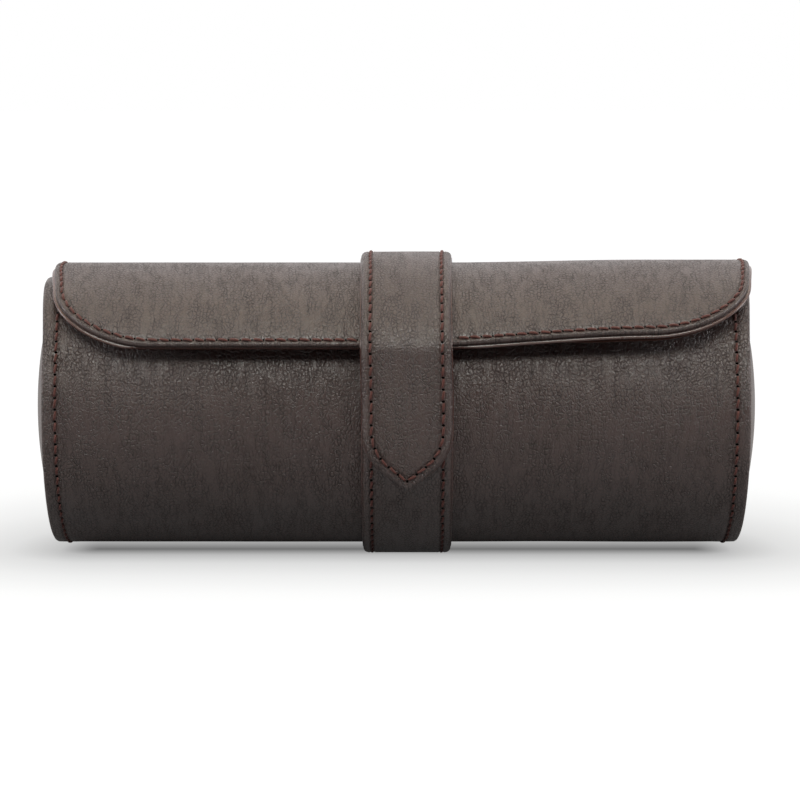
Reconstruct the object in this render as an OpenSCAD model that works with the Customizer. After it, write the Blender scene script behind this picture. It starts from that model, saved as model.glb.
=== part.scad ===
// Watch travel case: a leather barrel with a hinged lid, a closing strap and three watch cushions.
// The case lies along X, its front faces -Y and it stands on the strap at Z = 0.
// Angles are taken about an axis along X, from the front (-Y) upwards.

/* [Case] */
// Outside radius of the leather barrel
case_r = 46; // [44:0.5:50]
// Length of the barrel, without its padded ends
case_len = 227; // [215:1:240]
// Thickness of the leather
leather_t = 1.3; // [1.1:0.1:1.5]
// Thickness of the fibreboard shell
board_t = 2; // [1.8:0.1:2.2]
// Thickness of the suede lining
lining_t = 0.8; // [0.6:0.1:1]
// How far each padded end stands out of the barrel
dome_out = 5.6; // [4:0.2:7]
// Front rim of the mouth, as an angle above the front
mouth_front = 42; // [38:1:44]
// Width of barrel left whole at each end of the mouth
end_band = 8; // [7:0.5:10]

/* [Lid] */
// Length of the lid
lid_len = 228.6; // [226:0.2:244]
// Angle of the leather hinge, over the top to the back
hinge_angle = 142; // [140:1:144]
// How far the lid's arc is centred in front of the barrel's axis
lid_forward = 4.4; // [4.2:0.1:4.8]
// How far the lid's arc is centred below the barrel's axis
lid_drop = 4.8; // [4.6:0.1:5]
// Front edge of the lid, as an angle about the lid's own centre
lid_front = 33.3; // [33:0.1:35]
// Thickness of the lid
lid_t = 3.8; // [3.4:0.1:3.9]
// Radius of the lid's front corners
lid_corner = 34; // [26:1:38]
// Free space between the closed lid and the barrel's ends
lid_gap = 1; // [0.8:0.1:1.5]

/* [Strap] */
// Width of the strap
strap_w = 29.4; // [28:0.2:34]
// Thickness of the strap, face and backing together
strap_t = 3.6; // [3.4:0.1:3.8]
// Thickness of the strap's face leather
strap_face_t = 1.6; // [1.4:0.1:1.6]
// Free space between the tab and the strap under it
tab_gap = 0.5; // [0.4:0.1:0.6]
// Height of the tab's shoulders, where its point begins, from the barrel's axis
tab_shoulder = -3; // [-4:0.5:-1]
// Radius of the tab's shoulders
tab_round = 18; // [12:0.5:20]
// How far the shoulders turn before the sides run straight to the point
tab_turn = 52; // [46:1:56]
// Depth of the flat that the strap takes where the case stands on it
foot_flat = 0.5; // [0.4:0.1:0.6]
// Radius of each closing magnet
magnet_r = 6; // [5:0.5:6]
// Thickness of each closing magnet
magnet_t = 1; // [0.8:0.1:1.05]

/* [Inside] */
// Radius of each watch cushion
cushion_r = 28; // [26:0.5:29]
// Length of each watch cushion
cushion_len = 62; // [56:1:64]
// Thickness of a cushion's suede cover
cover_t = 1.5; // [1:0.1:2]
// Place of each divider along the case, from the middle
divider_x = 36; // [34.5:0.5:38]
// Thickness of a covered divider
divider_t = 3; // [2.6:0.1:3.2]
// Height of the dividers above the barrel's axis
divider_top = 8; // [0:1:10]

/* [Sewing] */
// Radius of the sewing thread
thread_r = 0.4; // [0.3:0.05:0.45]
// Distance of each seam from its edge
seam_in = 3.1; // [3:0.1:3.6]
// Distance of the end seams from the barrel's ends
end_seam_in = 4.5; // [4:0.1:5]

/* [Hidden] */

$fn = 96;

far = 130;          // reaches past the whole case
spine_half = 4;     // half the width of the leather hinge, along the leather
strap_spine_half = 8;
rim_over = 0.7;     // how far the lid's lining stops short of the lid's edge
end_board_t = 2;
end_recess = 3.3;   // from the barrel's end to the outer face of the end board
thread_lift = thread_r + 0.02; // a thread's centre lies this far above the leather
divider_board_t = 1.5;
cushion_end_t = 2;
cushion_edge = 4;   // radius of a cushion's rounded rims
cushion_rest = 0.3; // free space under a cushion
lid_board_t = 1.6;
corner_tilt = 50;   // the lid's corners are cut square to the lid at this angle
tab_hinge_at = 35.5; // the tab's hinge, as an angle about the lid's centre
tab_hinge_half = 3.8;
magnet_at = -5;     // the magnets' angle about the barrel's axis
magnet_in = 0.55;   // backing left between a magnet and the strap's inner face
lower_strap_front = 27; // the lower strap ends here, under the lid's front edge

axis_z = case_r + strap_t - foot_flat;
shell_t = leather_t + board_t;
wall_t = shell_t + lining_t;
mouth_x = case_len / 2 - end_band;
end_board_x = case_len / 2 - end_recess;

// The direction from an axis at an angle above the front, as [Y, Z]
function way(a) = [-cos(a), sin(a)];
// The angle that a length along an arc takes up
function turn(length, r) = length * 180 / (PI * r);

lid_c = [-lid_forward, -lid_drop];
hinge_outer = case_r * way(hinge_angle);
lid_r = norm(hinge_outer - lid_c);
lid_hinge_at = atan2(hinge_outer[1] - lid_c[1], lid_c[0] - hinge_outer[0]);
hinge_p = (case_r - leather_t / 2) * way(hinge_angle);
lid_back = lid_hinge_at - turn(spine_half, lid_r);
seat_angle = hinge_angle + turn(spine_half, case_r);
lid_seat_end = hinge_angle - turn(spine_half / 2, case_r);
strap_lid_back = lid_hinge_at - turn(strap_spine_half, lid_r);
strap_case_back = hinge_angle + turn(strap_spine_half, case_r);
strap_r = case_r + strap_t;
tab_r = strap_r + tab_gap;
strap_lid_front = tab_hinge_at + turn(tab_hinge_half, lid_r);
backing_t = strap_t - strap_face_t;
seam_x = strap_w / 2 - seam_in;

// The tab runs straight from the lid's front edge until it touches the barrel's curve
lid_edge = lid_c + lid_r * way(lid_front);
edge_clear = 0.3;
tab_touch = atan2(lid_edge[1], -lid_edge[0]) - acos((tab_r - edge_clear) / norm(lid_edge));
tab_hinge_p = lid_c + (lid_r + strap_t / 2) * way(tab_hinge_at);
tab_top = along(tab_touch) * tab_hinge_p - tab_hinge_half;
// The direction up the strap at an angle, as [Y, Z]
function along(a) = [sin(a), cos(a)];

echo(hinge_y = hinge_p[0], hinge_z = hinge_p[1] + axis_z);
echo(tab_hinge_y = tab_hinge_p[0], tab_hinge_z = tab_hinge_p[1] + axis_z);
echo(axis_z = axis_z, lid_r = lid_r, lid_back = lid_back, tab_touch = tab_touch, tab_top = tab_top);

// ---- Shapes that repeat ----

// Draws an outline in the Y-Z plane, at the barrel's axis, and runs it along X
module run_x(length, x = 0) {
    translate([x, 0, axis_z])
        rotate([90, 0, 90])
            linear_extrude(length, center = true)
                children();
}

// Draws an outline in X-Z, from the barrel's axis, and runs it through the front of the case
module run_front() {
    translate([0, 0, axis_z])
        rotate([90, 0, 0])
            linear_extrude(far)
                children();
}

// A slice of the plane between two angles
module wedge(a0, a1) {
    steps = ceil((a1 - a0) / 45);
    polygon(concat([[0, 0]], [for (i = [0:steps]) far * way(a0 + (a1 - a0) * i / steps)]));
}

module ring(r0, r1) {
    difference() {
        circle(r1);
        circle(r0);
    }
}

module ring_part(r0, r1, a0, a1) {
    intersection() {
        ring(r0, r1);
        wedge(a0, a1);
    }
}

// The barrel's outline, drawn in by a distance: round, and lowered under the lid and its hinge
module case_outline(inset) {
    difference() {
        circle(case_r - inset);
        difference() {
            wedge(20, lid_seat_end);
            translate(lid_c) circle(lid_r - lid_t - lid_gap - inset);
        }
        difference() {
            wedge(lid_seat_end - 1, seat_angle + turn(inset, case_r));
            circle(case_r - leather_t - inset);
        }
    }
}

module mouth(inset) {
    run_x(2 * (mouth_x + inset))
        wedge(mouth_front - turn(inset, case_r), seat_angle + turn(inset, case_r));
}

// One layer of the barrel's wall, with the mouth cut through it
module wall_layer(inset0, inset1, length, rim) {
    difference() {
        run_x(length) difference() {
            case_outline(inset0);
            case_outline(inset1);
        }
        mouth(rim);
    }
}

// A slab across the barrel
module bulkhead(inset, x0, x1) {
    run_x(x1 - x0, (x0 + x1) / 2) case_outline(inset);
}

// The ball that shapes the padded ends, less a depth under their surface
module end_ball(depth) {
    rim_r = case_r - shell_t;
    rise = dome_out + leather_t;
    ball_r = (rim_r * rim_r + rise * rise) / (2 * rise);
    translate([case_len / 2 + dome_out - ball_r, 0, axis_z])
        sphere(ball_r - depth, $fn = 200);
}

// The lid's outline from above its front corners, drawn in by a distance
module lid_plan(inset) {
    front = lid_r * sin(lid_front - corner_tilt) + inset;
    round = lid_corner - inset;
    half = lid_len / 2 - inset;
    union() {
        translate([-half, front + round]) square([2 * half, far]);
        translate([round - half, front]) square([2 * (half - round), far]);
        for (side = [-1, 1])
            translate([side * (half - round), front + round]) circle(round);
    }
}

// One layer of the lid, between two radii about the lid's centre
module lid_layer(r0, r1, inset) {
    trim = turn(inset, lid_r);
    intersection() {
        run_x(lid_len - 2 * inset)
            translate(lid_c)
                ring_part(r0, r1, lid_front + trim, lid_back - trim);
        translate([0, lid_c[0], axis_z + lid_c[1]])
            rotate([90 - corner_tilt, 0, 0])
                linear_extrude(far)
                    lid_plan(inset);
    }
}

// One layer of the lower strap, round the barrel from the lid's front edge to the hinge
module lower_strap_layer(r0, r1) {
    difference() {
        run_x(strap_w) difference() {
            ring(r0, r1);
            wedge(lower_strap_front, strap_case_back);
        }
        translate([-strap_w, -far / 2, -far]) cube([2 * strap_w, far, far]);
    }
}

// The tab's side view: straight under the lid's edge, then round the barrel
module tab_side(r0, r1) {
    rotate(-tab_touch) translate([-r1, 0]) square([r1 - r0, tab_top]);
    ring_part(r0, r1, -60, tab_touch);
}

// One edge of the tab's point, from the shoulder to the tip, drawn in by a distance
function tab_edge(inset) = let (
    r = tab_round - inset,
    x = strap_w / 2 - tab_round,
    end_x = x + r * cos(tab_turn),
    drop = r * sin(tab_turn) + end_x / tan(tab_turn)
) concat(
    [for (a = [0:tab_turn / 8:tab_turn]) [x + r * cos(a), tab_shoulder - r * sin(a)]],
    [[0, tab_shoulder - drop]]
);

module tab_plan() {
    edge = tab_edge(0);
    n = len(edge) - 1;
    polygon(concat(
        [[strap_w / 2, far]], edge,
        [for (i = [n - 1:-1:0]) [-edge[i][0], edge[i][1]]], [[-strap_w / 2, far]]
    ));
}

module tab_layer(r0, r1) {
    intersection() {
        run_x(strap_w) tab_side(r0, r1);
        run_front() tab_plan();
    }
}

// A disc that lies square to the barrel's curve, at the magnets' place
module disc_at(r0, r1, radius) {
    translate([0, 0, axis_z])
        rotate([90 - magnet_at, 0, 0])
            translate([0, 0, r0])
                cylinder(h = r1 - r0, r = radius);
}

// A thread along an arc about an axis along X
module arc_thread(c, r, a0, a1, x) {
    translate([x, c[0], axis_z + c[1]])
        rotate([90, 0, 90])
            rotate([0, 0, 180 - a1])
                rotate_extrude(angle = a1 - a0)
                    translate([r + thread_lift, 0])
                        circle(thread_r, $fn = 24);
}

// A six-sided thread along a list of points; up holds the leather's direction at each
module laid_thread(path, up) {
    n = len(path);
    sides = 6;
    ring_points = [for (i = [0:n - 1]) let (
        ahead = path[min(i + 1, n - 1)] - path[max(i - 1, 0)],
        across = cross(up[i], ahead) / norm(cross(up[i], ahead)),
        out = cross(ahead, across) / norm(ahead)
    ) for (k = [0:sides - 1])
        path[i] + thread_r * (cos(60 * k) * across + sin(60 * k) * out)];
    walls = [for (i = [0:n - 2], k = [0:sides - 1]) let (
        a = i * sides + k, b = i * sides + (k + 1) % sides
    ) each [[a, a + sides, b + sides], [a, b + sides, b]]];
    caps = [for (k = [1:sides - 2]) each [
        [0, k, k + 1], [(n - 1) * sides, (n - 1) * sides + k + 1, (n - 1) * sides + k]
    ]];
    polyhedron(ring_points, concat(walls, caps));
}

// A point in a straight-sided thread on the lid's outside, clear of the curve between two points
function on_lid(x, t) = let (r = lid_r + thread_lift + 0.1) [x,
    lid_c[0] - r * cos(t), axis_z + lid_c[1] + r * sin(t)];
function off_lid(t) = [0, -cos(t), sin(t)];

// A point on the tab's outside, at a height from the barrel's axis
function on_tab(x, z) = let (
    r = tab_r + strap_t + thread_lift + 0.1,
    straight = z > r * sin(tab_touch),
    y = straight ? -(r - z * sin(tab_touch)) / cos(tab_touch) : -sqrt(r * r - z * z)
) [x, y, axis_z + z];

module on_both_sides() {
    children();
    mirror([1, 0, 0]) children();
}

// ---- Barrel ----

module shell_leather() {
    color("#3b302d") difference() {
        wall_layer(0, shell_t, case_len, 0);
        wall_layer(leather_t, shell_t + 1, case_len - 2 * leather_t, leather_t);
    }
}

module shell_board() {
    color("#8d7b64") wall_layer(leather_t, shell_t, case_len - 2 * leather_t, leather_t);
}

module shell_lining() {
    color("#8a7466") wall_layer(shell_t, wall_t, 2 * (end_board_x - end_board_t), 0);
}

module end_leather() {
    color("#43372f") difference() {
        intersection() {
            bulkhead(shell_t, end_board_x, case_len / 2 + far / 4);
            end_ball(0);
        }
        end_ball(leather_t);
    }
}

module end_padding() {
    color("#c9c2b4") intersection() {
        bulkhead(shell_t, end_board_x, case_len / 2 + far / 4);
        end_ball(leather_t);
    }
}

module end_board() {
    color("#8d7b64") bulkhead(shell_t, end_board_x - end_board_t, end_board_x);
}

module end_lining() {
    inner = end_board_x - end_board_t;
    color("#8a7466") bulkhead(wall_t, inner - lining_t, inner);
}

module end_thread() {
    color("#6b3f3a")
        arc_thread([0, 0], case_r, seat_angle - 360 + 1, 48, case_len / 2 - end_seam_in);
}

// ---- Dividers ----

module divider_form(thick, top) {
    run_x(thick, divider_x) intersection() {
        case_outline(wall_t);
        translate([-far / 2, -far / 2]) square([far, far / 2 + top]);
    }
}

module divider_board() {
    color("#8d7b64") divider_form(divider_board_t, divider_top - lining_t);
}

module divider_cover() {
    color("#8a7466") difference() {
        divider_form(divider_t, divider_top);
        divider_form(divider_board_t, divider_top - lining_t);
    }
}

// ---- Lower strap, sewn round the barrel ----

module lower_strap_leather() {
    color("#463a36") lower_strap_layer(case_r + backing_t, strap_r);
}

module lower_strap_backing() {
    color("#382d2a") difference() {
        lower_strap_layer(case_r, case_r + backing_t);
        disc_at(case_r + magnet_in, case_r + backing_t + 1, magnet_r);
    }
}

module lower_strap_magnet() {
    color("silver") disc_at(case_r + magnet_in, case_r + magnet_in + magnet_t, magnet_r);
}

module lower_strap_thread() {
    foot_half = 12;  // no thread where the strap meets the ground
    tab_ends = -17;  // nor under the tab, as an angle above the front
    color("#6b3f3a") on_both_sides() {
        arc_thread([0, 0], strap_r, foot_half - 90, tab_ends, seam_x);
        arc_thread([0, 0], strap_r, strap_case_back - 360, -90 - foot_half, seam_x);
    }
}

// ---- Leather hinge ----

module spine_leather() {
    color("#3b302d") run_x(case_len) {
        ring_part(case_r - leather_t, case_r, hinge_angle - 0.5, seat_angle);
        translate(lid_c) ring_part(lid_r - leather_t, lid_r, lid_back, lid_hinge_at + 0.5);
        translate(hinge_p) circle(leather_t / 2);
    }
}

module spine_lining() {
    color("#8a7466") run_x(2 * mouth_x - 1) {
        ring_part(case_r - wall_t, case_r - shell_t, hinge_angle - 0.5, seat_angle);
        translate(lid_c)
            ring_part(lid_r - lid_t, lid_r - lid_t + 0.9, lid_back + 1, lid_hinge_at + 0.5);
    }
}

module strap_spine() {
    color("#463a36") run_x(strap_w) {
        ring_part(case_r, strap_r, hinge_angle - 1, strap_case_back);
        translate(lid_c) ring_part(lid_r, lid_r + strap_t, strap_lid_back, lid_hinge_at + 1);
    }
}

// ---- Lid ----

module lid_leather() {
    inner = lid_r - leather_t - lid_board_t;
    color("#52453f") difference() {
        lid_layer(inner, lid_r, 0);
        lid_layer(inner - 1, lid_r - leather_t, leather_t);
    }
}

module lid_board() {
    color("#8d7b64")
        lid_layer(lid_r - leather_t - lid_board_t, lid_r - leather_t, leather_t);
}

module lid_lining() {
    color("#8a7466") lid_layer(lid_r - lid_t, lid_r - leather_t - lid_board_t, rim_over);
}

// The lid's seam runs down both sides and along the front, and stops at the strap
module lid_thread() {
    side_x = lid_len / 2 - seam_in;
    front = lid_r * sin(lid_front - corner_tilt);
    round = lid_corner - seam_in;
    c = [lid_len / 2 - lid_corner, front + lid_corner];
    corner = [for (a = [0:9:90]) let (s = c[1] - round * sin(a))
        [c[0] + round * cos(a), corner_tilt + asin(s / lid_r)]];
    turns = concat([for (i = [0:15]) [side_x, lid_back - 2 - (lid_back - 2 - corner[0][1]) * i / 16]],
        corner, [[strap_w / 2 + 1, corner[10][1]]]);
    color("#6b3f3a") on_both_sides()
        laid_thread([for (p = turns) on_lid(p[0], p[1])], [for (p = turns) off_lid(p[1])]);
}

// ---- Strap over the lid ----

module lid_strap_leather() {
    color("#52453f") run_x(strap_w) translate(lid_c)
        ring_part(lid_r + backing_t, lid_r + strap_t, strap_lid_front, strap_lid_back);
}

module lid_strap_backing() {
    color("#382d2a") run_x(strap_w) translate(lid_c)
        ring_part(lid_r, lid_r + backing_t, strap_lid_front, strap_lid_back);
}

module lid_strap_thread() {
    color("#6b3f3a") on_both_sides()
        arc_thread(lid_c, lid_r + strap_t, strap_lid_front, strap_lid_back, seam_x);
}

// ---- Tab, the strap's free end ----

// The short stretch of strap that bends over the lid's edge
module tab_spine() {
    straight = along(tab_touch) * tab_top;
    inner = [for (i = [0:4]) lid_c + (lid_r + 0.1) * way(strap_lid_front
        + (lid_front - strap_lid_front) * i / 4)];
    p0 = lid_c + (lid_r + strap_t) * way(strap_lid_front);
    p1 = tab_hinge_p + strap_t * 0.6 * way(tab_hinge_at);
    p2 = straight + (tab_r + strap_t) * way(tab_touch);
    outer = [for (i = [6:-1:0]) let (u = i / 6)
        (1 - u) * (1 - u) * p0 + 2 * u * (1 - u) * p1 + u * u * p2];
    color("#463a36") run_x(strap_w)
        polygon(concat(inner, [straight + tab_r * way(tab_touch)], outer));
}

module tab_leather() {
    color("#4d413c") tab_layer(tab_r + backing_t, tab_r + strap_t);
}

module tab_backing() {
    color("#382d2a") difference() {
        tab_layer(tab_r, tab_r + backing_t);
        disc_at(tab_r + magnet_in, tab_r + backing_t + 1, magnet_r);
    }
}

module tab_magnet() {
    color("silver") disc_at(tab_r + magnet_in, tab_r + magnet_in + magnet_t, magnet_r);
}

module tab_thread() {
    edge = tab_edge(seam_in);
    n = len(edge) - 1;
    top = cos(tab_touch) * tab_top + (tab_r + strap_t) * sin(tab_touch) - 0.5;
    half = concat([for (i = [0:4]) [seam_x, top + (tab_shoulder - top) * i / 5]], edge);
    all = concat(half, [for (i = [len(half) - 2:-1:0]) [-half[i][0], half[i][1]]]);
    path = [for (p = all) on_tab(p[0], p[1])];
    up = [for (p = all) let (a = p[1] > 0 ? tab_touch : asin(p[1] / (tab_r + strap_t)))
        [0, -cos(a), sin(a)]];
    color("#6b3f3a") laid_thread(path, up);
}

// ---- Watch cushions ----

cushion_z = axis_z - case_r + wall_t + cushion_r + cushion_rest;
side_cushion_x = (divider_x + divider_t / 2 + end_board_x - end_board_t - lining_t) / 2;

// A cushion at its place along the case, with its axis along X
module cushion_at(x) {
    translate([x, 0, cushion_z]) rotate([0, 90, 0]) children();
}

module cushion_cover(x) {
    half = cushion_len / 2;
    color("#a08e7d") cushion_at(x) rotate_extrude() {
        translate([cushion_r - cover_t, cushion_edge - half])
            square([cover_t, cushion_len - 2 * cushion_edge]);
        for (end = [-1, 1]) intersection() {
            translate([cushion_r - cushion_edge, end * (half - cushion_edge)])
                ring(cushion_edge - cover_t, cushion_edge);
            translate([cushion_r - cushion_edge, end > 0 ? half - cushion_edge : -half])
                square([cushion_edge, cushion_edge]);
        }
    }
}

module cushion_core(x) {
    half = cushion_len / 2 - cushion_end_t;
    color("#c9c2b4") cushion_at(x)
        cylinder(h = 2 * half, r = cushion_r - cushion_edge, center = true);
}

module cushion_ends(x) {
    half = cushion_len / 2;
    color("#8a7466") cushion_at(x) for (end = [-1, 1])
        translate([0, 0, end * (half - cushion_end_t / 2)])
            cylinder(h = cushion_end_t, r = cushion_r - cushion_edge, center = true);
}

shell_leather();
shell_board();
shell_lining();
mirror([1, 0, 0]) end_leather();  // left_end_leather
mirror([1, 0, 0]) end_padding();  // left_end_padding
mirror([1, 0, 0]) end_board();  // left_end_board
mirror([1, 0, 0]) end_lining();  // left_end_lining
mirror([1, 0, 0]) end_thread();  // left_end_thread
end_leather();  // right_end_leather
end_padding();  // right_end_padding
end_board();  // right_end_board
end_lining();  // right_end_lining
end_thread();  // right_end_thread
mirror([1, 0, 0]) divider_board();  // left_divider_board
mirror([1, 0, 0]) divider_cover();  // left_divider_cover
divider_board();  // right_divider_board
divider_cover();  // right_divider_cover
lower_strap_leather();
lower_strap_backing();
lower_strap_magnet();
lower_strap_thread();
spine_leather();
spine_lining();
strap_spine();
lid_leather();
lid_board();
lid_lining();
lid_thread();
lid_strap_leather();
lid_strap_backing();
lid_strap_thread();
tab_spine();
tab_leather();
tab_backing();
tab_magnet();
tab_thread();
cushion_cover(-side_cushion_x);  // left_cushion_cover
cushion_core(-side_cushion_x);  // left_cushion_core
cushion_ends(-side_cushion_x);  // left_cushion_ends
cushion_cover(0);  // centre_cushion_cover
cushion_core(0);  // centre_cushion_core
cushion_ends(0);  // centre_cushion_ends
cushion_cover(side_cushion_x);  // right_cushion_cover
cushion_core(side_cushion_x);  // right_cushion_core
cushion_ends(side_cushion_x);  // right_cushion_ends
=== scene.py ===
import bisect
import math
import random

import bpy
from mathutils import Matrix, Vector, noise


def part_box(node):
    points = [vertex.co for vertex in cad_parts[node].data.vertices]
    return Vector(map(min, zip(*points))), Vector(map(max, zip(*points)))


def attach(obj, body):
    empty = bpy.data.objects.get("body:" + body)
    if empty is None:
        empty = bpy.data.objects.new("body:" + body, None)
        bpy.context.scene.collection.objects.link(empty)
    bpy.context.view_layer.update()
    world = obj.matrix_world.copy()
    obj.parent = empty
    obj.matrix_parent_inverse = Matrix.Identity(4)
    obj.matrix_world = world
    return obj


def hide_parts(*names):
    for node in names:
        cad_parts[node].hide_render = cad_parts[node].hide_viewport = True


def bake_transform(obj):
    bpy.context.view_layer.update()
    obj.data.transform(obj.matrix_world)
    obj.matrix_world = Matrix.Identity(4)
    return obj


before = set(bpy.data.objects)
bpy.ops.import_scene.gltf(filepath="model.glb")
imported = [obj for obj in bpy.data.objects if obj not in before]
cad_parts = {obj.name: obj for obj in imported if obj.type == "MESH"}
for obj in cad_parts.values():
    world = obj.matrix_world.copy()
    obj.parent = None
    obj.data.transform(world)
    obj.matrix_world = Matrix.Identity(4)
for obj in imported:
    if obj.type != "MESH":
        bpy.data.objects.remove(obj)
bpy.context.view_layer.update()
print("frame loaded, nodes:", len(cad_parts))

mm = 0.001
random.seed(4)

# the case's own measures, in mm, angles from the front upwards

caseForm = {
    "leather": 1.3,
    "mouthFront": 42,
    "endBand": 8,
    "hingeAngle": 142,
    "spineHalf": 4,
    "domeOut": 5.6,
    "lidForward": 4.4,
    "lidDrop": 4.8,
    "lidGap": 1.0,
    "lidThick": 3.8,
    "lidFront": 33.3,
    "strapThick": 3.6,
    "tabGap": 0.5,
    "tabSinks": 0.3,     # how far the tab presses into the lower strap where they touch
}
shellLow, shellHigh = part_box("shell_leather")
caseR = (shellHigh.y - shellLow.y) / 2 / mm
caseHalf = shellHigh.x / mm
axisZ = shellLow.z / mm + caseR
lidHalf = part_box("lid_leather")[1].x / mm
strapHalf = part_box("lower_strap_leather")[1].x / mm


def way(angle):
    a = math.radians(angle)
    return Vector((-math.cos(a), math.sin(a)))


def turn(length, radius):
    return math.degrees(length / radius)


hingeTop = caseR * way(caseForm["hingeAngle"])
lidC = Vector((-caseForm["lidForward"], -caseForm["lidDrop"]))
lidR = (hingeTop - lidC).length
lidHingeAt = math.degrees(math.atan2(hingeTop.y - lidC.y, lidC.x - hingeTop.x))
lidBack = lidHingeAt - turn(caseForm["spineHalf"], lidR)
seatAngle = caseForm["hingeAngle"] + turn(caseForm["spineHalf"], caseR)
strapR = caseR + caseForm["strapThick"]
tabR = strapR + caseForm["tabGap"]
tabOutR = tabR + caseForm["strapThick"]
lidEdge = lidC + lidR * way(caseForm["lidFront"])
tabTouch = math.degrees(math.atan2(lidEdge.y, -lidEdge.x)
                        - math.acos((tabR - caseForm["tabSinks"]) / lidEdge.length))


def smoothStep(a, b, v):
    t = min(max((v - a) / (b - a), 0), 1)
    return t * t * (3 - 2 * t)


def ripple(x, s, size, seed=0.0):
    return noise.noise(Vector((x / size, s / size, seed)))


# a spot in metres from its place along the case and its angle and radius round the barrel, in mm
def barrelSpot(x, angle, radius):
    p = way(angle) * radius
    return Vector((x, p.x, p.y + axisZ)) * mm


def addObject(name, data):
    made = bpy.data.objects.new(name, data)
    bpy.context.scene.collection.objects.link(made)
    return made


def tubeFaces(rings, sides, first=0):
    faces = []
    for r in range(rings - 1):
        near, far = first + r * sides, first + (r + 1) * sides
        faces += [(near + q, near + (q + 1) % sides, far + (q + 1) % sides, far + q) for q in range(sides)]
    return faces


# a Wire is a shader socket that takes part in Python expressions

class Wire:
    def __init__(self, paint, socket):
        self.paint = paint
        self.socket = socket

    def __add__(self, other):
        return self.paint.maths("ADD", self, other)

    def __sub__(self, other):
        return self.paint.maths("SUBTRACT", self, other)

    def __rsub__(self, other):
        return self.paint.maths("SUBTRACT", other, self)

    def __mul__(self, other):
        return self.paint.maths("MULTIPLY", self, other)

    def __pow__(self, other):
        return self.paint.maths("POWER", self, other)

    __radd__ = __add__
    __rmul__ = __mul__


class Paint:
    def __init__(self, name, world=None):
        self.material = world or bpy.data.materials.new(name)
        self.material.use_nodes = True
        self.tree = self.material.node_tree
        self.tree.nodes.clear()

    def node(self, kind, settings=None, sockets=None, out=0):
        made = self.tree.nodes.new("ShaderNode" + kind)
        for key, value in (settings or {}).items():
            if key == "stops":
                ramp = made.color_ramp
                while len(ramp.elements) < len(value):
                    ramp.elements.new(0.5)
                for element, (at, shade) in zip(ramp.elements, value):
                    element.position = at
                    element.color = (shade, shade, shade, 1)
            else:
                setattr(made, key, value)
        for key, value in (sockets or {}).items():
            if isinstance(key, int):
                socket = made.inputs[key]
            else:
                socket = next(s for s in made.inputs if key in (s.identifier, s.name))
            if isinstance(value, Wire):
                self.tree.links.new(value.socket, socket)
            else:
                socket.default_value = value
        return Wire(self, made.outputs[out])

    def maths(self, operation, a, b):
        return self.node("Math", {"operation": operation}, {0: a, 1: b})

    def mix(self, factor, a, b):
        return self.node("Mix", {"data_type": "RGBA"},
                         {"Factor_Float": factor, "A_Color": a, "B_Color": b}, out=2)

    def ramp(self, value, *stops):
        return self.node("ValToRGB", {"stops": stops}, {"Fac": value})

    def scaled(self, vector, x, y, z):
        return self.node("VectorMath", {"operation": "MULTIPLY"}, {0: vector, 1: (x, y, z)})

    def unwrapped(self):
        # the piece's own cut pattern, in mm
        return self.scaled(self.node("UVMap", {"uv_map": "leather"}), 100, 100, 0)

    def finish(self, surface, kind="Material"):
        end = self.tree.nodes.new("ShaderNodeOutput" + kind)
        self.tree.links.new(surface.socket, end.inputs["Surface"])
        return self.material


def linear(r, g, b):
    def one(c):
        c /= 255
        return c / 12.92 if c <= 0.04045 else ((c + 0.055) / 1.055) ** 2.4
    return (one(r), one(g), one(b), 1)


leatherLook = {
    "colour": linear(76, 42, 36),
    # painted shade: the dark colour below and the three shade shares further down darken the leather between
    # its pebbles, in its cracks and along its folds
    "crackShadeColour": linear(24, 10, 9),
    "rubbedColour": linear(84, 55, 47),
    "bend": (1.4, 1.8, 0),    # how far the cracks wander
    "pores": 1.5,
    "patches": 0.05,
    "pebble": 0.7,       # mm across
    "pebbleRelief": 0.32,
    "pebbleShade": 0.25,
    "plate": 1.05,       # mm between the cracks
    "plateRelief": 0.9,
    "plateShade": 0.7,
    "stretch": 0.66,     # both are longer along the barrel's curve
    "poreRelief": 0.14,
    "foldRelief": 0.4,
    "foldShade": 0.3,
    "roughness": 0.31,
    "specular": 0.95,
    "index": 1.65,
    "relief": 0.17,      # mm
}


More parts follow.
